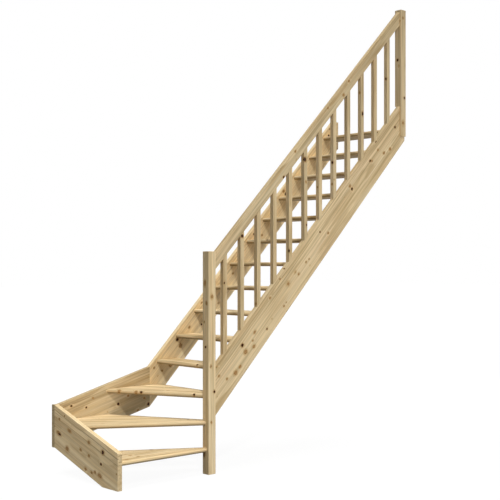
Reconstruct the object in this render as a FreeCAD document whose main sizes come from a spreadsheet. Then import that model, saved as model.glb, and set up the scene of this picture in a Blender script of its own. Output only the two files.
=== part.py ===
import FreeCAD, Part
import os
import Sketcher

doc = FreeCAD.newDocument("quarter_turn_stair")

# Driving sizes in millimetres; a ratio is rise over run
DRIVING = [
    ("rise", 200, "height of one step"),
    ("going", 198.6, "run of one straight step"),
    ("first_nosing", 107, "x of the first straight nosing, which is step four"),
    ("tread_thick", 33.5, "thickness of every tread"),
    ("tread_depth", 218, "nosing to back edge of a straight tread"),
    ("landing_depth", 207, "nosing to back edge of the top tread"),
    ("nosing_radius", 16, "rounding of the front and back edges of a tread"),
    ("housing", 12, "depth a tread end enters a stringer or the newel"),
    ("board_thick", 38, "thickness of stringers and handrail"),
    ("post_side", 70, "side of the newel and the top post"),
    ("baluster_side", 38, "side of a baluster"),
    ("arris", 4, "rounding of the long edges of boards"),
    ("small_arris", 2.5, "rounding of the edges of posts and balusters"),
    ("wall_face", 796, "y of the wall stringers' inner face"),
    ("left_face", 820, "distance from the newel's centre to the first stringer's inner face"),
    ("inner_below", 305, "plumb depth of the inner stringer below the nosing line"),
    ("inner_width", 267.5, "width of the inner stringer, square to its edges"),
    ("wall_below", 308, "plumb depth of the wall stringers below the nosing line"),
    ("wall_width", 230, "width of the upper wall stringer, square to its edges"),
    ("rail_gap", 803.5, "plumb height of the handrail's underside over the nosing line"),
    ("rail_width", 88.5, "width of the handrail, square to its edges"),
    ("newel_above", 23.5, "newel top over the handrail's top beside it"),
    ("post_above", 17.5, "top post over the handrail's top beside it"),
    ("post_drop", 58, "foot of the top post below the top tread"),
    ("first_gap", 110, "newel face to the first baluster's centre"),
    ("last_gap", 154, "last baluster's centre to the top post"),
    ("corner_above", 119.5, "top of the wall corner over the second step"),
    ("corner_depth", 325, "plumb depth of the lower stringers at the wall corner"),
    ("left_ratio", 0.307, "slope of the first stringer"),
    ("left_front", 34, "front end of the first stringer ahead of the newel's centre"),
    ("front_corner", 12, "rounding of the first stringer's top front corner"),
    ("step1_front", 14, "nosing of step one ahead of the newel's centre"),
    ("step1_back", 41, "y where step one's back edge meets the newel's left face"),
    ("step2_front", -2, "y where step two's nosing meets the newel's left face"),
    ("step2_ratio", 0.594, "slope in plan of step two's nosing"),
    ("step2_back", 51, "x where step two's back edge crosses the newel's back face"),
    ("step2_back_ratio", 0.534, "slope in plan of step two's back edge"),
    ("step3_front", -25, "x where step three's nosing meets the newel's back face"),
    ("step3_ratio", 0.476, "slope in plan of step three's nosing"),
    ("step3_lap", 36, "step three's back edge behind the nosing of step four"),
]
DERIVED = [
    ("pitch", "=rise / going", "slope of the straight flight"),
    ("along", "=sqrt(1 + pitch * pitch)", "plumb depth for one unit of square width"),
    ("nosing_zero", "=4 * rise - pitch * first_nosing", "height of the nosing line at x zero"),
    ("inner_low_zero", "=nosing_zero - inner_below", "inner stringer's lower edge at x zero"),
    ("inner_zero", "=inner_low_zero + inner_width * along", "inner stringer's upper edge at x zero"),
    ("wall_low_zero", "=nosing_zero - wall_below", "wall stringers' lower edge at x zero"),
    ("wall_zero", "=wall_low_zero + wall_width * along", "wall stringer's upper edge at x zero"),
    ("rail_low_zero", "=nosing_zero + rail_gap", "handrail's underside at x zero"),
    ("rail_top_zero", "=rail_low_zero + rail_width * along", "handrail's top at x zero"),
    ("half_post", "=post_side / 2", "half the newel"),
    ("half_board", "=board_thick / 2", "half a board"),
    ("flight_end", "=first_nosing + 10 * going + landing_depth", "x of the top end of the flight"),
    ("post_left", "=flight_end - post_side", "x of the top post's lower face"),
    ("inner_seat", "=inner_zero + pitch * post_left", "height of the inner stringer's level cut"),
    ("wall_level", "=wall_zero + pitch * post_left", "height of the wall stringer's level cut"),
    ("newel_top", "=rail_top_zero + pitch * half_post + newel_above", "height of the newel"),
    ("post_top", "=rail_top_zero + pitch * post_left + post_above", "height of the top post's top"),
    ("post_foot", "=14 * rise - post_drop", "height of the top post's foot"),
    ("baluster_pitch", "=(post_left - last_gap - half_post - first_gap) / 11", "baluster spacing"),
    ("corner_top", "=2 * rise + corner_above", "height of the wall corner's top"),
    ("corner_low", "=corner_top - corner_depth", "height of the wall corner's lower edge"),
    ("left_out", "=-left_face - board_thick", "x of the first stringer's outer face"),
    ("left_end", "=-left_face - housing", "x of the winders' left ends"),
    ("wall_end", "=wall_face + housing", "y of the treads' wall ends"),
    ("post_in", "=half_post - housing", "newel centre to the bottom of its housings"),
    ("board_in", "=half_board - housing", "y of the treads' ends in the inner stringer"),
]
LAST_STEP = 14
BALUSTERS = 12

sheet = doc.addObject("Spreadsheet::Sheet", "sizes")
for line, (alias, value, note) in enumerate(DRIVING + DERIVED, 1):
    sheet.set("A%d" % line, note)
    sheet.set("B%d" % line, str(value))
    sheet.setAlias("B%d" % line, alias)
doc.recompute()


def bind(thing, prop, formula):
    """Ties a property to a formula in the names of the sheet, written with a leading @."""
    thing.setExpression(prop, formula.replace("@", "sizes."))


def value_of(formula):
    """Present value of a formula in the names of the sheet."""
    found = sheet.evalExpression(formula.replace("@", "sizes."))
    return float(getattr(found, "Value", found))


def new_body(name):
    return doc.addObject("PartDesign::Body", name)


def place(body, x="0", y="0", z="0"):
    """Puts a body at a place given by three formulas."""
    bind(body, "Placement.Base.x", x)
    bind(body, "Placement.Base.y", y)
    bind(body, "Placement.Base.z", z)


def outline(body, plane, corners):
    """A closed outline of straight lines on one of the body's own planes; each corner is two formulas."""
    sketch = body.newObject("Sketcher::SketchObject", body.Name + "_outline")
    support = [feature for feature in body.Origin.OriginFeatures if feature.Role == plane][0]
    sketch.AttachmentSupport = (support, [""])
    sketch.MapMode = "FlatFace"
    points = [FreeCAD.Vector(value_of(x), value_of(y), 0) for x, y in corners]
    count = len(points)
    for i in range(count):
        sketch.addGeometry(Part.LineSegment(points[i], points[(i + 1) % count]), False)
    for i in range(count):
        sketch.addConstraint(Sketcher.Constraint("Coincident", i, 2, (i + 1) % count, 1))
    for i, (x, y) in enumerate(corners):
        for kind, formula, at in (("DistanceX", x, points[i].x), ("DistanceY", y, points[i].y)):
            number = sketch.addConstraint(Sketcher.Constraint(kind, -1, 1, i, 1, at))
            bind(sketch, "Constraints[%d]" % number, formula)
    return sketch


def pad(body, sketch, length, both_ways):
    """A pad of the outline, to one side or evenly to both."""
    feature = body.newObject("PartDesign::Pad", body.Name + "_pad")
    feature.Profile = sketch
    if both_ways:
        feature.SideType = "Symmetric"
    bind(feature, "Length", length)
    doc.recompute()
    return feature


def box(body, length, width, height):
    """A block with one corner on the body's origin."""
    feature = body.newObject("PartDesign::AdditiveBox", body.Name + "_block")
    bind(feature, "Length", length)
    bind(feature, "Width", width)
    bind(feature, "Height", height)
    doc.recompute()
    return feature


def soften(body, base, radius, wanted, word):
    """Rounds the straight edges whose two ends both pass the test."""
    names = []
    for number, edge in enumerate(base.Shape.Edges, 1):
        ends = [vertex.Point for vertex in edge.Vertexes]
        if len(ends) == 2 and wanted(ends[0], ends[1]):
            names.append("Edge%d" % number)
    feature = body.newObject("PartDesign::Fillet", body.Name + "_" + word)
    feature.Base = (base, names)
    bind(feature, "Radius", radius)
    doc.recompute()
    return feature


def near(a, b):
    return abs(a - b) < 0.01


def upright(p, q):
    return near(p.x, q.x) and near(p.y, q.y)


def over(p, corner):
    """True for a point above or below a corner of a plan."""
    return near(p.x, corner[0]) and near(p.y, corner[1])


def spans(p, q, start, end):
    """True for an edge from one corner of a plan to another."""
    return over(p, start) and over(q, end)


def cut(name, base, tools):
    """The base with the housings of other pieces taken out of it."""
    group = doc.addObject("Part::Compound", name + "_tools")
    group.Links = tools
    feature = doc.addObject("Part::Cut", name)
    feature.Base = base
    feature.Tool = group
    feature.Label = name
    return feature


pieces = {}

# Straight treads, housed in the inner and the upper wall stringer; the top one ends square at the landing
for step in range(4, LAST_STEP + 1):
    name = "tread_%02d" % step
    tread = new_body(name)
    depth = "@landing_depth" if step == LAST_STEP else "@tread_depth"
    block = box(tread, depth, "@wall_end - @board_in", "@tread_thick")
    rounded_back = 0 if step == LAST_STEP else value_of(depth)

    def crosswise(p, q):
        """True for a level edge across the flight, at the nosing or at a rounded back."""
        return near(p.x, q.x) and near(p.z, q.z) and (near(p.x, 0) or near(p.x, rounded_back))

    soften(tread, block, "@nosing_radius", crosswise, "nosing")
    place(tread, "@first_nosing + %d * @going" % (step - 4), "@board_in", "%d * @rise - @tread_thick" % step)
    pieces[name] = tread

# Winders: plan outlines, and the corners where the nosing and the back start
STEP2_NOSING = "@step2_front - @step2_ratio * (%s + @half_post)"
STEP1_BACK = "@step1_back - @step2_ratio * (%s + @half_post)"
STEP2_BACK = "@step2_back - @step2_back_ratio * (%s - @half_post)"
STEP3_NOSING = "@step3_front - @step3_ratio * (%s - @half_post)"
WINDERS = {
    1: [
        ("@left_end", "-@step1_front"),
        ("-@post_in", "-@step1_front"),
        ("-@post_in", STEP1_BACK % "-@post_in"),
        ("@left_end", STEP1_BACK % "@left_end"),
    ],
    2: [
        ("@left_end", STEP2_NOSING % "@left_end"),
        ("-@post_in", STEP2_NOSING % "-@post_in"),
        ("-@post_in", "@post_in"),
        ("@post_in", "@post_in"),
        ("@post_in", "@half_post + (@step2_back - @post_in) / @step2_back_ratio"),
        (STEP2_BACK % "@wall_end", "@wall_end"),
        ("@left_end", "@wall_end"),
    ],
    3: [
        (STEP3_NOSING % "@wall_end", "@wall_end"),
        (STEP3_NOSING % "@post_in", "@post_in"),
        ("@half_post", "@post_in"),
        ("@half_post", "@board_in"),
        ("@first_nosing + @step3_lap", "@board_in"),
        ("@first_nosing + @step3_lap", "@wall_end"),
    ],
}
ROUNDED_SIDES = {1: (0, 2), 2: (0, 4), 3: (0, 4)}
for step, corners in WINDERS.items():
    name = "tread_%02d" % step
    tread = new_body(name)
    plan = outline(tread, "XY_Plane", corners)
    slab = pad(tread, plan, "@tread_thick", False)
    points = [[value_of(formula) for formula in corner] for corner in corners]
    sides = [(points[start], points[start + 1]) for start in ROUNDED_SIDES[step]]

    def on_rounded_side(p, q):
        """True for the long edges of the nosing and of the back."""
        return any(spans(p, q, start, end) or spans(q, p, start, end) for start, end in sides)

    soften(tread, slab, "@nosing_radius", on_rounded_side, "nosing")
    place(tread, z="%d * @rise - @tread_thick" % step)
    pieces[name] = tread

TREADS = {step: pieces["tread_%02d" % step] for step in range(1, LAST_STEP + 1)}


def board(name, plane, corners, centre, rounded):
    """A board cut to an outline, with the arrises of its long edges rounded."""
    body = new_body(name)
    blank = pad(body, outline(body, plane, corners), "@board_thick", True)
    place(body, **centre)
    soften(body, blank, "@arris", rounded, "arris")
    return body


def sloped(p, q):
    """True for an edge that is neither level nor plumb."""
    return not near(p.z, q.z) and not upright(p, q)


# Inner stringer between the newel and the top post
inner_blank = board(
    "inner_blank",
    "XZ_Plane",
    [
        ("@half_post", "@inner_low_zero + @pitch * @half_post"),
        ("@flight_end", "@inner_low_zero + @pitch * @flight_end"),
        ("@flight_end", "@inner_seat"),
        ("@post_left", "@inner_seat"),
        ("@half_post", "@inner_zero + @pitch * @half_post"),
    ],
    {},
    sloped,
)
FLIGHT_TREADS = [TREADS[step] for step in range(3, LAST_STEP + 1)]
pieces["inner_stringer"] = cut("inner_stringer", inner_blank, FLIGHT_TREADS)

# Upper wall stringer, jointed plumb to the lower one in line with the newel's upper face
upper_blank = board(
    "wall_upper_blank",
    "XZ_Plane",
    [
        ("@half_post", "@wall_low_zero + @pitch * @half_post"),
        ("@flight_end", "@wall_low_zero + @pitch * @flight_end"),
        ("@flight_end", "@wall_level"),
        ("@post_left", "@wall_level"),
        ("@half_post", "@wall_zero + @pitch * @half_post"),
    ],
    {"y": "@wall_face + @half_board"},
    sloped,
)
pieces["wall_stringer_upper"] = cut("wall_stringer_upper", upper_blank, FLIGHT_TREADS)

# Lower wall stringer, from a level end over the first stringer to the plumb joint
corner_height = value_of("@corner_top")
lower_blank = board(
    "wall_lower_blank",
    "XZ_Plane",
    [
        ("@left_out", "@corner_low"),
        ("@half_post", "@wall_low_zero + @pitch * @half_post"),
        ("@half_post", "@wall_zero + @pitch * @half_post"),
        ("-@left_face", "@corner_top"),
        ("@left_out", "@corner_top"),
    ],
    {"y": "@wall_face + @half_board"},
    lambda p, q: sloped(p, q) or (near(p.y, q.y) and near(p.z, corner_height) and near(q.z, corner_height)),
)
pieces["wall_stringer_lower"] = cut("wall_stringer_lower", lower_blank, [TREADS[2], TREADS[3]])

# First stringer, from its foot on the floor back to the lower wall stringer
LEFT_TOP = "@corner_top - @left_ratio * (@wall_face - (%s))"
first_body = new_body("first_blank")
first_outline = outline(
    first_body,
    "YZ_Plane",
    [
        ("-@left_front", "0"),
        ("@wall_face - @corner_low / @left_ratio", "0"),
        ("@wall_face", "@corner_low"),
        ("@wall_face", "@corner_top"),
        ("-@left_front", LEFT_TOP % "-@left_front"),
    ],
)
first_slab = pad(first_body, first_outline, "@board_thick", True)
place(first_body, x="-@left_face - @half_board")
front_top = value_of(LEFT_TOP % "-@left_front")
front_y = value_of("-@left_front")
first_round = soften(
    first_body,
    first_slab,
    "@front_corner",
    lambda p, q: all(near(end.y, front_y) and near(end.z, front_top) for end in (p, q)),
    "corner",
)
soften(
    first_body,
    first_round,
    "@arris",
    sloped,
    "arris",
)
pieces["first_stringer"] = cut("first_stringer", first_body, [TREADS[1], TREADS[2]])

# Newel, housed for the narrow ends of the winders
newel_body = new_body("newel_blank")
newel_block = box(newel_body, "@post_side", "@post_side", "@newel_top")
newel_height = value_of("@newel_top")
soften(
    newel_body,
    newel_block,
    "@small_arris",
    lambda p, q: upright(p, q) or (near(p.z, newel_height) and near(q.z, newel_height)),
    "arris",
)
place(newel_body, "-@half_post", "-@half_post")
pieces["newel_post"] = cut("newel_post", newel_body, [TREADS[1], TREADS[2], TREADS[3]])

# Top post, lapped over the front face of the inner stringer and seated on its level cut
post_body = new_body("top_post")
post_outline = outline(
    post_body,
    "YZ_Plane",
    [
        ("-@half_post", "@post_foot"),
        ("-@half_board", "@post_foot"),
        ("-@half_board", "@inner_seat"),
        ("@half_post", "@inner_seat"),
        ("@half_post", "@post_top"),
        ("-@half_post", "@post_top"),
    ],
)
post_blank = pad(post_body, post_outline, "@post_side", True)
place(post_body, x="@flight_end - @half_post")
post_height = value_of("@post_top")
post_reach = value_of("@half_post")


def on_post(p, q):
    """True for the full-height corners of the top post and the edges of its top."""
    corner = upright(p, q) and near(abs(p.y), post_reach)
    return corner or (near(p.z, post_height) and near(q.z, post_height))


soften(post_body, post_blank, "@small_arris", on_post, "arris")
pieces["top_post"] = post_body

# Handrail between the two posts
pieces["handrail"] = board(
    "handrail",
    "XZ_Plane",
    [
        ("@half_post", "@rail_low_zero + @pitch * @half_post"),
        ("@post_left", "@rail_low_zero + @pitch * @post_left"),
        ("@post_left", "@rail_top_zero + @pitch * @post_left"),
        ("@half_post", "@rail_top_zero + @pitch * @half_post"),
    ],
    {},
    sloped,
)

# Balusters, cut to the slope at both ends
for number in range(BALUSTERS):
    name = "baluster_%02d" % (number + 1)
    baluster = new_body(name)
    shape = outline(
        baluster,
        "XZ_Plane",
        [
            ("-@baluster_side / 2", "-@pitch * @baluster_side / 2"),
            ("@baluster_side / 2", "@pitch * @baluster_side / 2"),
            ("@baluster_side / 2", "@pitch * @baluster_side / 2 + @rail_low_zero - @inner_zero"),
            ("-@baluster_side / 2", "-@pitch * @baluster_side / 2 + @rail_low_zero - @inner_zero"),
        ],
    )
    stick = pad(baluster, shape, "@baluster_side", True)
    soften(baluster, stick, "@small_arris", upright, "arris")
    at = "(@half_post + @first_gap + %d * @baluster_pitch)" % number
    place(baluster, x=at, z="@inner_zero + @pitch * " + at)
    pieces[name] = baluster

doc.recompute()

# Every object must be sound before anything is written
for thing in doc.Objects:
    faults = [word for word in thing.State if word in ("Invalid", "Error")]
    if faults:
        raise RuntimeError("%s is %s" % (thing.Label, faults))
for name, piece in pieces.items():
    if piece.Shape.isNull() or not piece.Shape.isValid() or len(piece.Shape.Solids) != 1:
        raise RuntimeError("%s has no single sound solid" % name)

os.makedirs("parts", exist_ok=True)
for name, piece in pieces.items():
    piece.Label = name
    piece.Shape.exportStep("parts/%s.step" % name)
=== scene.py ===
"""Looks for a quarter-turn open-riser stair in spruce.

Every board gets solid wood grain and knots of its own. The scene gets a pale floor, soft studio
light and a camera at the photograph's place.
"""

import collections
import math
import random

import bpy
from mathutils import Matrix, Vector


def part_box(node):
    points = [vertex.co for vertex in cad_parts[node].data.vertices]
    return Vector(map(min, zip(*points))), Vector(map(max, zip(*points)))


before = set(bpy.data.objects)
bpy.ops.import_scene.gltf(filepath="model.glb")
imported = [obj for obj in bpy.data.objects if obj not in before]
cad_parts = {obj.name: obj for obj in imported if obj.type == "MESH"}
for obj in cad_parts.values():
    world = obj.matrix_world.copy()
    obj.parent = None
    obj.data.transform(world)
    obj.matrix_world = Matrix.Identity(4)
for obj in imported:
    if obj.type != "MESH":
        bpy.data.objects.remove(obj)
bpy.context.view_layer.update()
scene = bpy.context.scene
scene.view_settings.view_transform = "Standard"

X, Y, Z = (1, 0, 0), (0, 1, 0), (0, 0, 1)
DOWN = (0, 0, -1)

# Distance to a knot or a top edge that a board doesn't have
FAR = 50.0

# Wood colours, as linear albedo
LIGHT = (0.80, 0.625, 0.365, 1)
DEEP = (0.47, 0.315, 0.135, 1)
PALE = (0.88, 0.725, 0.465, 1)
ROSY = (0.74, 0.530, 0.300, 1)
LINE = (0.34, 0.215, 0.090, 1)
HALO = (0.52, 0.290, 0.090, 1)
AMBER = (0.46, 0.250, 0.085, 1)
BROWN = (0.13, 0.042, 0.010, 1)
DARK = (0.030, 0.007, 0.001, 1)

# Random knots: the room for one along, across and through a board, and their radii, in metres;
# the shares of empty cells and of brown knots; and the share of a distance along the grain that counts
KNOT_CELL = (0.19, 0.095, 0.040)
SMALLEST_KNOT = 0.0022
KNOT_GROWTH = 0.0070
EMPTY_CELLS = 0.62
BROWN_CELLS = 0.80
LENGTHWAYS = 0.7

# Growth rings, in metres: place of the pith, width of a ring, and how far knots push it aside;
# the last value is how fast that push falls off
PITH_ASIDE = 0.06
PITH_DEPTH = 0.03
PITH_SPREAD = 0.07
RING_WIDTH = 0.008
RING_SPREAD = 0.006
KNOT_SWELL = 0.012
SWELL_FALL = -0.28

# Noise, in waves per metre along, across and through a board
KNOT_EDGES = (70, 110, 110)
RING_WANDER = (1.1, 5, 5)
RING_RIPPLE = (6, 40, 40)
RING_PATCHES = (1.6, 16, 16)
STREAKS = (0.9, 26, 26)
CLOUDS = (1.3, 7, 7)
HAIRS = (1.7, 75, 75)
FIBRES = (9, 520, 520)
LINE_WANDER = (1.5, 14, 14)
LINE_BREAKS = (1.1, 34, 34)
WEAR_AND_HIGHLIGHT_PATCHES = (12, 60, 60)

# How far noise moves the rings and the lines, in metres
WANDER_REACH = 0.036
RIPPLE_REACH = 0.0022
LINE_REACH = 0.034

# Smooth steps: the two limits, then the results at each
KNOT_WOBBLE = (0.25, 0.75, 0.80, 1.10)
RING_RISE = (0.30, 0.86, 0.0, 1.0)
RING_END = (0.89, 1.0, 1.0, 0.0)
RING_STRENGTH = (0.25, 0.75, 0.40, 1.0)
DARK_STREAK = (0.50, 0.70, 0.0, 0.50)
PALE_STREAK = (0.46, 0.28, 0.0, 0.70)
ROSY_CLOUD = (0.48, 0.75, 0.0, 0.40)
LINE_CORE = (0.22, 0.06, 0.0, 1.0)
LINE_FADE = (0.130, 0.050, 0.0, 1.0)
LINE_STRENGTH = (0.36, 0.56, 0.0, 1.0)
FIBRE_TONE = (0.25, 0.75, 0.95, 1.05)
HAIR_TONE = (0.30, 0.70, 0.84, 1.12)
SEAM_TONE = (0.0, 0.0012, 0.92, 1.0)
END_TONE = (0.60, 0.95, 1.0, 0.88)
KNOT_HALO = (2.4, 1.0, 0.0, 0.62)
AMBER_DISC = (1.10, 0.85, 0.0, 0.68)
BROWN_RIM = (0.30, 0.06, 0.0, 0.62)
BROWN_HEART = (0.45, 0.20, 0.0, 0.60)
BLACK_RIM = (1.45, 1.02, 0.0, 0.80)
BLACK_CORE = (1.12, 0.88, 0.0, 0.97)
WEAR_AND_HIGHLIGHT_BEND = (0.995, 0.90, 0.0, 1.0)
WEAR_AND_HIGHLIGHT_STRENGTH = (0.35, 0.65, 0.25, 1.0)
FIBRE_ROUGHNESS = (0.2, 0.8, 0.58, 0.70)
KNOT_ROUGHNESS = (1.2, 0.8, 0.0, -0.06)
KNOT_HEIGHT = (1.4, 0.9, 0.0, 0.7)

# Shares of late wood, fibres and edge wear in the colour, roughness and height; the pale edges are wear and
# partly a painted highlight
LATE_SHARE = 0.50
LATE_ROUGHNESS = -0.07
LATE_HEIGHT = 0.5
FIBRE_HEIGHT = 0.6
WEAR_AND_HIGHLIGHT_SHARE = 0.35
RUBBED_ROUGHNESS = -0.08

# Lesser wood values: spacing of the dark lines and reach of the pale edges, wear and partly painted
# highlight, in metres, and the rim of a brown knot in knot radii
LINE_STEP = 0.0240
WEAR_AND_HIGHLIGHT_WIDTH = 0.006
RIM_PLACE = 0.92

# Luck: the seed and the weight of a name's first letter, the ranges of a board's offset in metres and
# of its tone, and the phase and the tones of its strips
SEED = 4217
FIRST_WEIGHT = 7
OFFSETS = (3, 40)
TONES = (0.97, 1.03)
STRIP_PHASE = 0.37
STRIP_TONE = 0.94
STRIP_TONE_SPREAD = 0.12

# Finish, with the bump's depth in metres
BUMP_STRENGTH = 0.35
BUMP_DEPTH = 0.0004
SPECULAR = 0.08


class Tree:
    """Short ways to add nodes to one tree."""

    def __init__(self, tree):
        self.tree = tree

    def add(self, kind, **settings):
        node = self.tree.nodes.new(kind)
        for key, value in settings.items():
            setattr(node, key, value)
        return node

    def feed(self, socket, value):
        """Links a socket, or sets a plain value."""
        if isinstance(value, bpy.types.NodeSocket):
            self.tree.links.new(value, socket)
        else:
            socket.default_value = value

    def math(self, operation, first, second=None):
        node = self.add("ShaderNodeMath", operation=operation)
        self.feed(node.inputs[0], first)
        if second is not None:
            self.feed(node.inputs[1], second)
        return node.outputs[0]

    def plus(self, first, second):
        return self.math("ADD", first, second)

    def minus(self, first, second):
        return self.math("SUBTRACT", first, second)

    def times(self, first, second):
        return self.math("MULTIPLY", first, second)

    def least(self, first, second):
        return self.math("MINIMUM", first, second)

    def linear(self, value, slope, start):
        return self.plus(self.times(value, slope), start)

    def part(self, value, step):
        """How far a value is through its step, from nought to one."""
        return self.math("FRACT", self.math("DIVIDE", value, step))

    def off_middle(self, value, step):
        """How far a value is from the middle of its step, in steps."""
        return self.math("ABSOLUTE", self.minus(self.part(value, step), 0.5))

    def vector(self, operation, first, second=None):
        node = self.add("ShaderNodeVectorMath", operation=operation)
        self.feed(node.inputs[0], first)
        if second is not None:
            self.feed(node.inputs[1], second)
        return node.outputs["Value" if operation in ("DOT_PRODUCT", "LENGTH") else "Vector"]

    def combine(self, x, y, z):
        node = self.add("ShaderNodeCombineXYZ")
        for slot, value in enumerate((x, y, z)):
            self.feed(node.inputs[slot], value)
        return node.outputs[0]

    def split(self, vector):
        node = self.add("ShaderNodeSeparateXYZ")
        self.feed(node.inputs[0], vector)
        return node.outputs

    def noise(self, vector, stretch, detail=2.0, roughness=0.5):
        """Noise of a point stretched by three scales."""
        node = self.add("ShaderNodeTexNoise", noise_dimensions="3D")
        self.feed(node.inputs["Vector"], self.vector("MULTIPLY", vector, stretch))
        node.inputs["Scale"].default_value = 1.0
        node.inputs["Detail"].default_value = detail
        node.inputs["Roughness"].default_value = roughness
        return node.outputs[0]

    def sway(self, vector, stretch, reach):
        """Noise about nought, times a reach."""
        return self.times(self.minus(self.noise(vector, stretch), 0.5), reach)

    def ramp(self, value, low, high, to_low, to_high):
        """Smooth step of a value between two limits, with the results at each."""
        node = self.add("ShaderNodeMapRange", interpolation_type="SMOOTHSTEP")
        for slot, number in enumerate((value, low, high, to_low, to_high)):
            self.feed(node.inputs[slot], number)
        return node.outputs[0]

    def mix(self, share, first, second):
        """A mix of two colours; the node's colour sockets are inputs 6 and 7 and output 2."""
        node = self.add("ShaderNodeMix", data_type="RGBA")
        self.feed(node.inputs[0], share)
        self.feed(node.inputs[6], first)
        self.feed(node.inputs[7], second)
        return node.outputs[2]

    def scale(self, colour, factor):
        """A colour times a grey factor."""
        node = self.add("ShaderNodeVectorMath", operation="SCALE")
        self.feed(node.inputs[0], colour)
        self.feed(node.inputs["Scale"], factor)
        return node.outputs[0]


def empty_tree(owner):
    """The cleared node tree of a material or world."""
    owner.use_nodes = True
    owner.node_tree.nodes.clear()
    return Tree(owner.node_tree)


def scattered_knots(t, here, stretch):
    """Distances to the nearest random black and brown knots, in knot radii."""
    cells = t.add("ShaderNodeTexVoronoi", voronoi_dimensions="3D", feature="F1")
    cells.inputs["Scale"].default_value = 1.0
    t.feed(cells.inputs["Vector"], t.vector("DIVIDE", here, KNOT_CELL))
    away = t.vector("SUBTRACT", here, t.vector("MULTIPLY", cells.outputs["Position"], KNOT_CELL))
    size_luck, found_luck, kind_luck = t.split(cells.outputs["Color"])
    size = t.linear(t.math("POWER", size_luck, 2.0), KNOT_GROWTH, SMALLEST_KNOT)
    reach = t.math("DIVIDE", t.vector("LENGTH", t.vector("MULTIPLY", away, stretch)), size)
    reach = t.plus(reach, t.times(t.math("LESS_THAN", found_luck, EMPTY_CELLS), FAR))
    black = t.math("GREATER_THAN", kind_luck, BROWN_CELLS)
    return t.plus(reach, t.times(t.minus(1.0, black), FAR)), t.plus(reach, t.times(black, FAR))


def all_knots(t, here, given):
    """Distances to the nearest black and brown knots, placed or random, with uneven edges."""
    wobble = t.ramp(t.noise(here, KNOT_EDGES, detail=1.0), *KNOT_WOBBLE)
    random_dark, random_brown = scattered_knots(t, here, given["Stretch"])
    dark = t.times(t.least(given["Dark knot"], random_dark), wobble)
    brown = t.times(t.least(given["Brown knot"], random_brown), wobble)
    return dark, brown


def lamella(t, here, strip):
    """The glued strip at a point: the distance from its pith, the width of its rings, and its tone."""
    _, across, through = t.split(here)
    number = t.math("FLOOR", t.math("DIVIDE", across, strip))
    luck = t.add("ShaderNodeTexWhiteNoise", noise_dimensions="1D")
    t.feed(luck.inputs["W"], t.plus(number, STRIP_PHASE))
    side_luck, depth_luck, ring_luck = t.split(luck.outputs["Color"])
    middle = t.times(t.plus(number, 0.5), strip)
    side = t.minus(t.minus(across, middle), t.times(t.minus(side_luck, 0.5), PITH_ASIDE))
    depth = t.plus(through, t.linear(depth_luck, PITH_SPREAD, PITH_DEPTH))
    from_pith = t.math("SQRT", t.plus(t.times(side, side), t.times(depth, depth)))
    from_seam = t.times(t.minus(0.5, t.off_middle(across, strip)), strip)
    tone = t.linear(depth_luck, STRIP_TONE_SPREAD, STRIP_TONE)
    tone = t.times(tone, t.ramp(from_seam, *SEAM_TONE))
    return from_pith, t.linear(ring_luck, RING_SPREAD, RING_WIDTH), tone


def late_wood(t, here, from_pith, width, nearest_knot):
    """Share of dark late wood, in rings that wander along the board and swell past knots."""
    fall = t.times(t.times(nearest_knot, nearest_knot), SWELL_FALL)
    swell = t.times(t.math("POWER", math.e, fall), KNOT_SWELL)
    ring = t.plus(from_pith, t.sway(here, RING_WANDER, WANDER_REACH))
    ring = t.plus(ring, t.plus(t.sway(here, RING_RIPPLE, RIPPLE_REACH), swell))
    part = t.part(ring, width)
    late = t.times(t.ramp(part, *RING_RISE), t.ramp(part, *RING_END))
    return t.times(late, t.ramp(t.noise(here, RING_PATCHES), *RING_STRENGTH))


def streaked(t, here, late, figure):
    """Colour of the wood with its late wood, streaks and rosy clouds."""
    streak = t.noise(here, STREAKS, detail=3.0, roughness=0.55)
    colour = t.mix(t.times(t.times(late, LATE_SHARE), figure), LIGHT, DEEP)
    colour = t.mix(t.times(t.ramp(streak, *DARK_STREAK), figure), colour, DEEP)
    colour = t.mix(t.ramp(streak, *PALE_STREAK), colour, PALE)
    return t.mix(t.ramp(t.noise(here, CLOUDS), *ROSY_CLOUD), colour, ROSY)


def edge_lines(t, here, from_top):
    """Share of the dark lines that follow a board's top edge."""
    bent = t.plus(from_top, t.sway(here, LINE_WANDER, LINE_REACH))
    core = t.ramp(t.off_middle(bent, LINE_STEP), *LINE_CORE)
    lines = t.times(core, t.ramp(from_top, *LINE_FADE))
    return t.times(lines, t.ramp(t.noise(here, LINE_BREAKS), *LINE_STRENGTH))


def knotted(t, colour, dark, brown):
    """The colour with knots: a warm halo, then an amber disc with a dark rim and heart, or a black core."""
    colour = t.mix(t.ramp(t.least(dark, brown), *KNOT_HALO), colour, HALO)
    colour = t.mix(t.ramp(brown, *AMBER_DISC), colour, AMBER)
    rim = t.ramp(t.math("ABSOLUTE", t.minus(brown, RIM_PLACE)), *BROWN_RIM)
    heart = t.ramp(brown, *BROWN_HEART)
    colour = t.mix(t.math("MAXIMUM", rim, heart), colour, BROWN)
    colour = t.mix(t.ramp(dark, *BLACK_RIM), colour, BROWN)
    return t.mix(t.ramp(dark, *BLACK_CORE), colour, DARK)


def rubbed_and_highlit(t, here):
    """Share of wear and of painted highlight, in patches along the arrises."""
    rounded = t.add("ShaderNodeBevel", samples=4)
    rounded.inputs["Radius"].default_value = WEAR_AND_HIGHLIGHT_WIDTH
    straight = t.add("ShaderNodeNewGeometry").outputs["Normal"]
    bend = t.vector("DOT_PRODUCT", rounded.outputs["Normal"], straight)
    return t.times(t.ramp(bend, *WEAR_AND_HIGHLIGHT_BEND), t.ramp(t.noise(here, WEAR_AND_HIGHLIGHT_PATCHES), *WEAR_AND_HIGHLIGHT_STRENGTH))


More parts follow.
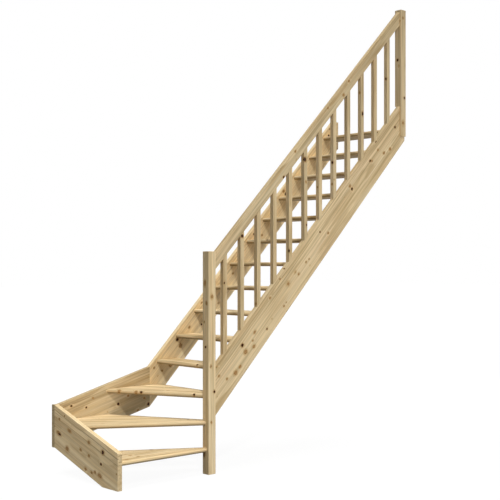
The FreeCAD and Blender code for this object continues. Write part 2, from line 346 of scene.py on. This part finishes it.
GIVEN = {
    "Board": "NodeSocketVector",
    "Seed": "NodeSocketVector",
    "Strip": "NodeSocketFloat",
    "Stretch": "NodeSocketVector",
    "Tone": "NodeSocketFloat",
    "Figure": "NodeSocketFloat",
    "End": "NodeSocketFloat",
    "From top": "NodeSocketFloat",
    "Lines": "NodeSocketFloat",
    "Dark knot": "NodeSocketFloat",
    "Brown knot": "NodeSocketFloat",
}
MADE = {"Colour": "NodeSocketColor", "Roughness": "NodeSocketFloat", "Height": "NodeSocketFloat"}


def wood_group():
    """Node group of solid spruce, worked out at every point of a board, in metres."""
    group = bpy.data.node_groups.new("spruce", "ShaderNodeTree")
    for name, kind in GIVEN.items():
        group.interface.new_socket(name, in_out="INPUT", socket_type=kind)
    for name, kind in MADE.items():
        group.interface.new_socket(name, in_out="OUTPUT", socket_type=kind)
    t = Tree(group)
    given = t.add("NodeGroupInput").outputs
    made = t.add("NodeGroupOutput").inputs

    here = t.vector("ADD", given["Board"], given["Seed"])
    dark, brown = all_knots(t, here, given)
    nearest_knot = t.least(dark, brown)
    from_pith, ring_width, strip_tone = lamella(t, here, given["Strip"])
    late = late_wood(t, here, from_pith, ring_width, nearest_knot)
    fibre = t.noise(here, FIBRES, roughness=0.6)
    hair = t.noise(here, HAIRS, detail=3.0, roughness=0.65)
    worn_and_highlit = rubbed_and_highlit(t, here)

    tone = t.times(given["Tone"], strip_tone)
    tone = t.times(tone, t.ramp(fibre, *FIBRE_TONE))
    tone = t.times(tone, t.ramp(hair, *HAIR_TONE))
    tone = t.times(tone, t.ramp(given["End"], *END_TONE))

    colour = streaked(t, here, late, given["Figure"])
    lines = t.times(edge_lines(t, here, given["From top"]), given["Lines"])
    colour = t.scale(t.mix(lines, colour, LINE), tone)
    colour = knotted(t, colour, dark, brown)
    # Pale arrises: wear, and partly a painted highlight along the rounded edges
    colour = t.mix(t.times(worn_and_highlit, WEAR_AND_HIGHLIGHT_SHARE), colour, PALE)

    roughness = t.linear(late, LATE_ROUGHNESS, t.ramp(fibre, *FIBRE_ROUGHNESS))
    roughness = t.plus(roughness, t.ramp(nearest_knot, *KNOT_ROUGHNESS))
    roughness = t.plus(roughness, t.times(worn_and_highlit, RUBBED_ROUGHNESS))

    height = t.plus(t.times(late, LATE_HEIGHT), t.times(fibre, FIBRE_HEIGHT))
    height = t.plus(height, t.ramp(nearest_knot, *KNOT_HEIGHT))

    t.feed(made["Colour"], colour)
    t.feed(made["Roughness"], roughness)
    t.feed(made["Height"], height)
    return group


SPRUCE = wood_group()

# How a board is cut, and how it looks:
# along and through are the directions of its grain and of its thickness
# strip is the width of its lamellas, in metres
# squash is the share of a distance through the board that counts, so that a small one makes knots deep
# tone is its brightness, and figure the strength of its rings and streaks
# top is a point on its top edge, and lines the strength of the dark lines that follow that edge
# the last is the share of the tone that is left on faces turned down, a painted shade under the treads
Layout = collections.namedtuple(
    "Layout",
    "along through strip squash tone figure top lines under",
    defaults=(0.35, 1.0, 1.0, None, 0, 1.0),
)

# How far a face turns down before it has the whole of the painted shade of the undersides
UNDER_SHADE_TURN = (0.0, 0.35)


def knot_distance(t, board, axes, knots, squash):
    """Distance to the nearest of the given knots, in knot radii."""
    found = FAR
    for x, y, z, radius, length in knots:
        centre = [Vector((x, y, z)).dot(axis) for axis in axes]
        away = t.vector("SUBTRACT", board, centre)
        away = t.vector("MULTIPLY", away, (1 / (radius * length), 1 / radius, squash / radius))
        found = t.least(found, t.vector("LENGTH", away))
    return found


def wood(name, layout, dark, brown):
    """Spruce cut as the layout says, with its own luck and its own knots."""
    along = Vector(layout.along).normalized()
    through = Vector(layout.through).normalized()
    across = through.cross(along)
    axes = (along, across, through)
    material = bpy.data.materials.new("spruce_" + name)
    t = empty_tree(material)
    point = t.add("ShaderNodeTexCoord").outputs
    board = t.combine(*[t.vector("DOT_PRODUCT", point["Object"], axis) for axis in axes])
    luck = random.Random(SEED + sum(ord(letter) * weight for weight, letter in enumerate(name, FIRST_WEIGHT)))
    offset = [luck.uniform(*OFFSETS) for _ in range(3)]
    tone = layout.tone * luck.uniform(*TONES)
    downward = t.vector("DOT_PRODUCT", point["Normal"], DOWN)
    endward = t.vector("DOT_PRODUCT", point["Normal"], along)

    grain = t.add("ShaderNodeGroup", node_tree=SPRUCE)
    t.feed(grain.inputs["Board"], board)
    t.feed(grain.inputs["Seed"], offset)
    t.feed(grain.inputs["Strip"], layout.strip)
    t.feed(grain.inputs["Stretch"], (LENGTHWAYS, 1.0, layout.squash))
    # Faces turned down get a lower tone: painted shade on the undersides and the lower nosings
    t.feed(grain.inputs["Tone"], t.ramp(downward, *UNDER_SHADE_TURN, tone, tone * layout.under))
    t.feed(grain.inputs["Figure"], layout.figure)
    t.feed(grain.inputs["End"], t.math("ABSOLUTE", endward))
    t.feed(grain.inputs["From top"], FAR)
    t.feed(grain.inputs["Lines"], layout.lines)
    if layout.top is not None:
        above = t.minus(t.split(board)[1], Vector(layout.top).dot(across))
        t.feed(grain.inputs["From top"], t.times(above, -1 if across.z > 0 else 1))
    t.feed(grain.inputs["Dark knot"], knot_distance(t, board, axes, dark, layout.squash))
    t.feed(grain.inputs["Brown knot"], knot_distance(t, board, axes, brown, layout.squash))

    bump = t.add("ShaderNodeBump")
    t.feed(bump.inputs["Strength"], BUMP_STRENGTH)
    t.feed(bump.inputs["Distance"], BUMP_DEPTH)
    t.feed(bump.inputs["Height"], grain.outputs["Height"])
    shader = t.add("ShaderNodeBsdfPrincipled")
    t.feed(shader.inputs["Specular IOR Level"], SPECULAR)
    t.feed(shader.inputs["Base Color"], grain.outputs["Colour"])
    t.feed(shader.inputs["Roughness"], grain.outputs["Roughness"])
    t.feed(shader.inputs["Normal"], bump.outputs["Normal"])
    t.feed(t.add("ShaderNodeOutputMaterial").inputs["Surface"], shader.outputs["BSDF"])
    return material


# Directions of the grain: up the flight by its going and rise, along the two lower stringers, and
# along the winders' nosings
CLIMB = (198.6, 0, 200)
FIRST_CLIMB = (0, 1, 0.307)
LOWER_CLIMB = (1, 0, 0.265)
SECOND_NOSING = (1, -0.594, 0)
THIRD_NOSING = (-0.476, 1, 0)

# Points on the stringers' top edges: at the wall corner, above the turn, and at the top post
CORNER_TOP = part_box("first_stringer")[1]
TURN_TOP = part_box("wall_stringer_lower")[1]
HEAD_TOP = (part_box("top_post")[0].x, 0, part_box("inner_stringer")[1].z)

# Widths of lamellas, in metres; that of the posts, the rail and the balusters is more than their own width
LOWER_STRIP = 0.105
FLIGHT_STRIP = 0.110
TREAD_STRIP = 0.068
WHOLE_STRIP = 0.200

# Share of their tone on the treads' undersides, which are deeper in the photograph; the darker tone there is
# painted shade
UNDERSIDE_SHADE = 0.55


def tread_layout(along):
    """Layout of a tread whose grain runs along a direction."""
    return Layout(along, Z, TREAD_STRIP, tone=1.05, figure=1.7, under=UNDERSIDE_SHADE)


LAYOUTS = {
    "first_stringer": Layout(FIRST_CLIMB, X, LOWER_STRIP, tone=1.12, top=CORNER_TOP, lines=0.70),
    "wall_stringer_lower": Layout(
        LOWER_CLIMB, Y, LOWER_STRIP, tone=0.80, figure=1.2, top=CORNER_TOP, lines=0.55
    ),
    "wall_stringer_upper": Layout(CLIMB, Y, FLIGHT_STRIP, tone=1.16, figure=0.6, top=TURN_TOP, lines=0.25),
    "inner_stringer": Layout(CLIMB, Y, FLIGHT_STRIP, tone=1.03, figure=1.25, top=HEAD_TOP, lines=0.60),
    "handrail": Layout(CLIMB, Y, WHOLE_STRIP, squash=0.8, tone=0.87, figure=1.5),
    "newel_post": Layout(Z, Y, WHOLE_STRIP, squash=1.0, tone=1.06),
    "top_post": Layout(Z, Y, WHOLE_STRIP, squash=1.0, tone=0.91, figure=1.4),
    "baluster": Layout(Z, Y, WHOLE_STRIP, squash=1.0, tone=0.92),
    "tread_01": tread_layout(X),
    "tread_02": tread_layout(SECOND_NOSING),
    "tread_03": tread_layout(THIRD_NOSING),
    "tread": tread_layout(Y),
}

# Knots that the photograph shows, by piece, as x, y, z, radius across the grain and length in radii
dark_knots = collections.defaultdict(list)
brown_knots = collections.defaultdict(list)


def on_front(knots, name, *spots):
    """Adds knots on a piece's front face, each given as x, z, radius and length."""
    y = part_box(name)[0].y
    knots[name] += [(x, y, z, radius, length) for x, z, radius, length in spots]


def on_left(knots, name, *spots):
    """Adds knots on a piece's left face, each given as y, z, radius and length."""
    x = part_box(name)[0].x
    knots[name] += [(x, y, z, radius, length) for y, z, radius, length in spots]


def on_top(knots, name, *spots):
    """Adds knots on a tread's top or nosing, each given as x, y, depth below the top, radius and length."""
    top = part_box(name)[1].z
    knots[name] += [(x, y, top - depth, radius, length) for x, y, depth, radius, length in spots]


# The flight's two stringers carry the same knots, as if cut from like boards
for name in ("wall_stringer_upper", "inner_stringer"):
    on_front(
        dark_knots,
        name,
        (0.320, 0.954, 0.0105, 1.1),
        (0.583, 1.070, 0.0055, 1.1),
        (1.191, 1.852, 0.0060, 1.0),
        (1.589, 2.231, 0.0100, 1.1),
        (2.167, 2.817, 0.0090, 1.0),
    )
    on_front(
        brown_knots,
        name,
        (0.080, 0.733, 0.006, 1.2),
        (0.162, 0.705, 0.006, 1.2),
        (0.250, 0.746, 0.012, 1.2),
        (0.295, 0.789, 0.008, 1.4),
        (0.354, 0.902, 0.013, 1.1),
        (0.430, 0.985, 0.005, 1.2),
        (0.450, 1.050, 0.007, 1.6),
        (0.615, 1.314, 0.007, 1.2),
        (0.726, 1.464, 0.006, 1.2),
        (0.771, 1.246, 0.006, 1.2),
        (0.820, 1.424, 0.010, 1.2),
        (0.939, 1.503, 0.007, 1.2),
        (1.025, 1.601, 0.006, 1.2),
        (1.060, 1.626, 0.005, 1.2),
        (1.290, 1.845, 0.007, 1.2),
        (1.563, 2.255, 0.009, 1.2),
        (1.851, 2.490, 0.006, 1.2),
        (1.932, 2.593, 0.006, 1.2),
        (2.014, 2.573, 0.009, 1.3),
        (2.097, 2.615, 0.010, 1.3),
    )

on_left(
    dark_knots,
    "first_stringer",
    (0.150, 0.248, 0.012, 1.0),
    (0.174, 0.161, 0.0075, 1.3),
    (0.722, 0.305, 0.0055, 3.0),
)
on_left(
    brown_knots,
    "first_stringer",
    (0.188, 0.077, 0.011, 1.8),
    (0.249, 0.093, 0.008, 1.3),
    (0.328, 0.199, 0.008, 1.3),
    (0.328, 0.296, 0.009, 1.3),
    (0.371, 0.098, 0.008, 1.3),
    (0.437, 0.228, 0.008, 1.3),
    (0.587, 0.347, 0.008, 2.2),
    (0.618, 0.212, 0.013, 1.2),
    (0.656, 0.450, 0.005, 1.2),
    (0.726, 0.420, 0.007, 1.2),
    (0.735, 0.312, 0.011, 2.2),
    (0.795, 0.359, 0.006, 1.2),
)

on_front(
    dark_knots,
    "wall_stringer_lower",
    (0.023, 0.443, 0.010, 1.1),
    (-0.275, 0.470, 0.009, 1.0),
    (-0.575, 0.472, 0.006, 1.2),
    (-0.710, 0.496, 0.006, 1.2),
)
on_front(
    brown_knots,
    "wall_stringer_lower",
    (-0.513, 0.540, 0.005, 1.2),
    (-0.179, 0.528, 0.006, 1.2),
    (-0.019, 0.495, 0.007, 1.2),
)

on_left(dark_knots, "newel_post", (0.000, 0.959, 0.007, 1.0))
on_front(dark_knots, "newel_post", (0.022, 0.621, 0.008, 1.0))
on_left(
    brown_knots,
    "newel_post",
    (0.014, 0.152, 0.008, 2.5),
    (-0.009, 1.291, 0.008, 1.3),
    (0.008, 1.440, 0.008, 2.2),
)
on_front(brown_knots, "newel_post", (-0.002, 1.338, 0.009, 1.3), (-0.008, 0.391, 0.006, 1.3))

on_left(dark_knots, "top_post", (0.003, 3.433, 0.008, 1.2))
on_front(dark_knots, "top_post", (2.280, 3.090, 0.0075, 1.1))
on_front(brown_knots, "top_post", (2.260, 2.862, 0.009, 1.3), (2.260, 3.812, 0.006, 1.3))

on_front(
    brown_knots,
    "handrail",
    (0.901, 2.502, 0.006, 1.3),
    (1.288, 2.897, 0.006, 1.3),
    (1.482, 3.028, 0.008, 1.3),
    (1.550, 3.156, 0.007, 1.3),
)

on_front(dark_knots, "baluster_01", (0.135, 1.439, 0.006, 1.2))
on_front(dark_knots, "baluster_02", (0.318, 1.803, 0.010, 1.2))
on_left(brown_knots, "baluster_03", (-0.004, 1.271, 0.006, 1.3))
on_front(dark_knots, "baluster_06", (1.012, 2.445, 0.012, 1.2))
on_front(brown_knots, "baluster_06", (1.024, 2.260, 0.006, 1.3))
on_left(dark_knots, "baluster_08", (-0.008, 2.443, 0.008, 1.2))
on_left(brown_knots, "baluster_08", (-0.004, 2.260, 0.006, 1.3))
on_front(dark_knots, "baluster_10", (1.727, 2.894, 0.009, 1.5))
on_left(brown_knots, "baluster_10", (-0.004, 3.075, 0.007, 1.3))
on_left(dark_knots, "baluster_12", (-0.006, 3.240, 0.007, 1.3))

on_top(brown_knots, "tread_01", (-0.627, 0.138, 0, 0.008, 1.3), (-0.616, 0.061, 0, 0.007, 1.3))
on_top(dark_knots, "tread_02", (-0.074, 0.163, 0, 0.006, 1.3))
on_top(dark_knots, "tread_03", (-0.056, 0.110, 0.006, 0.0055, 1.3), (-0.253, 0.519, 0.008, 0.004, 2.6))
on_top(
    brown_knots,
    "tread_03",
    (0.026, 0.559, 0, 0.007, 1.3),
    (-0.090, 0.389, 0, 0.007, 1.3),
    (-0.335, 0.696, 0.005, 0.007, 1.4),
    (-0.272, 0.560, 0.008, 0.006, 1.6),
)
on_top(dark_knots, "tread_04", (0.115, 0.277, 0.004, 0.006, 1.3))

# One material for each piece; a numbered piece without a layout of its own has that of its kind
for name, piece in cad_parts.items():
    kind = name.rsplit("_", 1)[0]
    layout = LAYOUTS[name if name in LAYOUTS else kind]
    piece.data.materials.clear()
    piece.data.materials.append(wood(name, layout, dark_knots[name], brown_knots[name]))


def seen_directly(t):
    """One for rays from the camera, a mirror or glass, nought for rays that light the object."""
    rays = t.add("ShaderNodeLightPath").outputs
    share = t.plus(rays["Is Camera Ray"], rays["Is Glossy Ray"])
    return t.least(t.plus(share, rays["Is Transmission Ray"]), 1.0)


# Plain pale floor, which keeps the shadow
FLOOR_REACH = 60
FLOOR_DROP = 0.001
FLOOR_GREY = (0.07, 0.07, 0.07, 1)
FLOOR_GLOW = 0.945


def pale_floor():
    """Material of the floor: grey to the light, and nearly white to the camera."""
    material = bpy.data.materials.new("pale_floor")
    t = empty_tree(material)
    matt = t.add("ShaderNodeBsdfDiffuse")
    t.feed(matt.inputs["Color"], FLOOR_GREY)
    glow = t.add("ShaderNodeEmission")
    t.feed(glow.inputs["Strength"], t.times(seen_directly(t), FLOOR_GLOW))
    both = t.add("ShaderNodeAddShader")
    t.feed(both.inputs[0], matt.outputs[0])
    t.feed(both.inputs[1], glow.outputs[0])
    t.feed(t.add("ShaderNodeOutputMaterial").inputs["Surface"], both.outputs[0])
    return material


mesh = bpy.data.meshes.new("floor")
mesh.from_pydata(
    [(x * FLOOR_REACH, y * FLOOR_REACH, -FLOOR_DROP) for x, y in ((-1, -1), (1, -1), (1, 1), (-1, 1))],
    [],
    [(0, 1, 2, 3)],
)
mesh.materials.append(pale_floor())
floor = bpy.data.objects.new("floor", mesh)
scene.collection.objects.link(floor)

# White surroundings to look at, dim ones to be lit by
SKY_WHITE = (1, 1, 1, 1)
SKY_LIGHT = 0.05
world = bpy.data.worlds.new("studio")
t = empty_tree(world)
sky = t.add("ShaderNodeBackground")
t.feed(sky.inputs["Color"], SKY_WHITE)
t.feed(sky.inputs["Strength"], t.linear(seen_directly(t), 1 - SKY_LIGHT, SKY_LIGHT))
t.feed(t.add("ShaderNodeOutputWorld").inputs["Surface"], sky.outputs[0])
scene.world = world


def aim(lamp, travel):
    """Puts a lamp in the scene, with its light travelling along a direction."""
    lamp.rotation_euler = Vector(travel).to_track_quat("-Z", "Y").to_euler()
    scene.collection.objects.link(lamp)


def far_lamp(name, travel, strength, spread):
    """A far lamp; a wide spread, in degrees, is a large soft source."""
    data = bpy.data.lights.new(name, "SUN")
    data.energy = strength
    data.angle = math.radians(spread)
    aim(bpy.data.objects.new(name, data), travel)


def panel_lamp(name, place, travel, power, width, height):
    """A soft panel that the camera doesn't see."""
    data = bpy.data.lights.new(name, "AREA")
    data.shape = "RECTANGLE"
    data.size = width
    data.size_y = height
    data.energy = power
    panel = bpy.data.objects.new(name, data)
    panel.location = place
    panel.visible_camera = False
    aim(panel, travel)


far_lamp("key", travel=(0.56, 0.85, -1.00), strength=1.28, spread=3)
far_lamp("overhead", travel=DOWN, strength=1.90, spread=30)
panel_lamp("front_fill", place=(0.6, -6.5, 0.8), travel=(0, 1, 0.03), power=178, width=3.0, height=1.2)
panel_lamp("left_fill", place=(-2.6, 0.25, 0.30), travel=(1, 0.05, 0), power=5, width=0.9, height=0.5)
panel_lamp(
    "right_fill", place=(4.6, -1.6, 0.30), travel=(-0.85, 0.35, 0.40), power=28, width=2.0, height=0.5
)
panel_lamp("back_fill", place=(0.8, 6.5, 1.4), travel=(0, -1, 0), power=150, width=3.5, height=1.6)
panel_lamp("head_fill", place=(7.5, 0.4, 2.0), travel=(-1, 0, 0), power=110, width=2.0, height=2.0)

# Camera at the photograph's place, level, with the frame shifted as there: place and depth in metres,
# angles in degrees, lens and sensor in millimetres
CAMERA_PLACE = (-4.8778, -5.8061, 1.5799)
CAMERA_LEVEL = 90
CAMERA_TURN = -42.44
LENS = 72.19
SENSOR_WIDTH = 36
FRAME_SHIFT = (-0.0026, 0.0292)
VIEW_DEPTH = 200
camera_data = bpy.data.cameras.new("camera")
camera_data.lens = LENS
camera_data.sensor_width = SENSOR_WIDTH
camera_data.shift_x, camera_data.shift_y = FRAME_SHIFT
camera_data.clip_end = VIEW_DEPTH
camera = bpy.data.objects.new("camera", camera_data)
camera.location = CAMERA_PLACE
camera.rotation_euler = (math.radians(CAMERA_LEVEL), 0, math.radians(CAMERA_TURN))
scene.collection.objects.link(camera)
scene.camera = camera
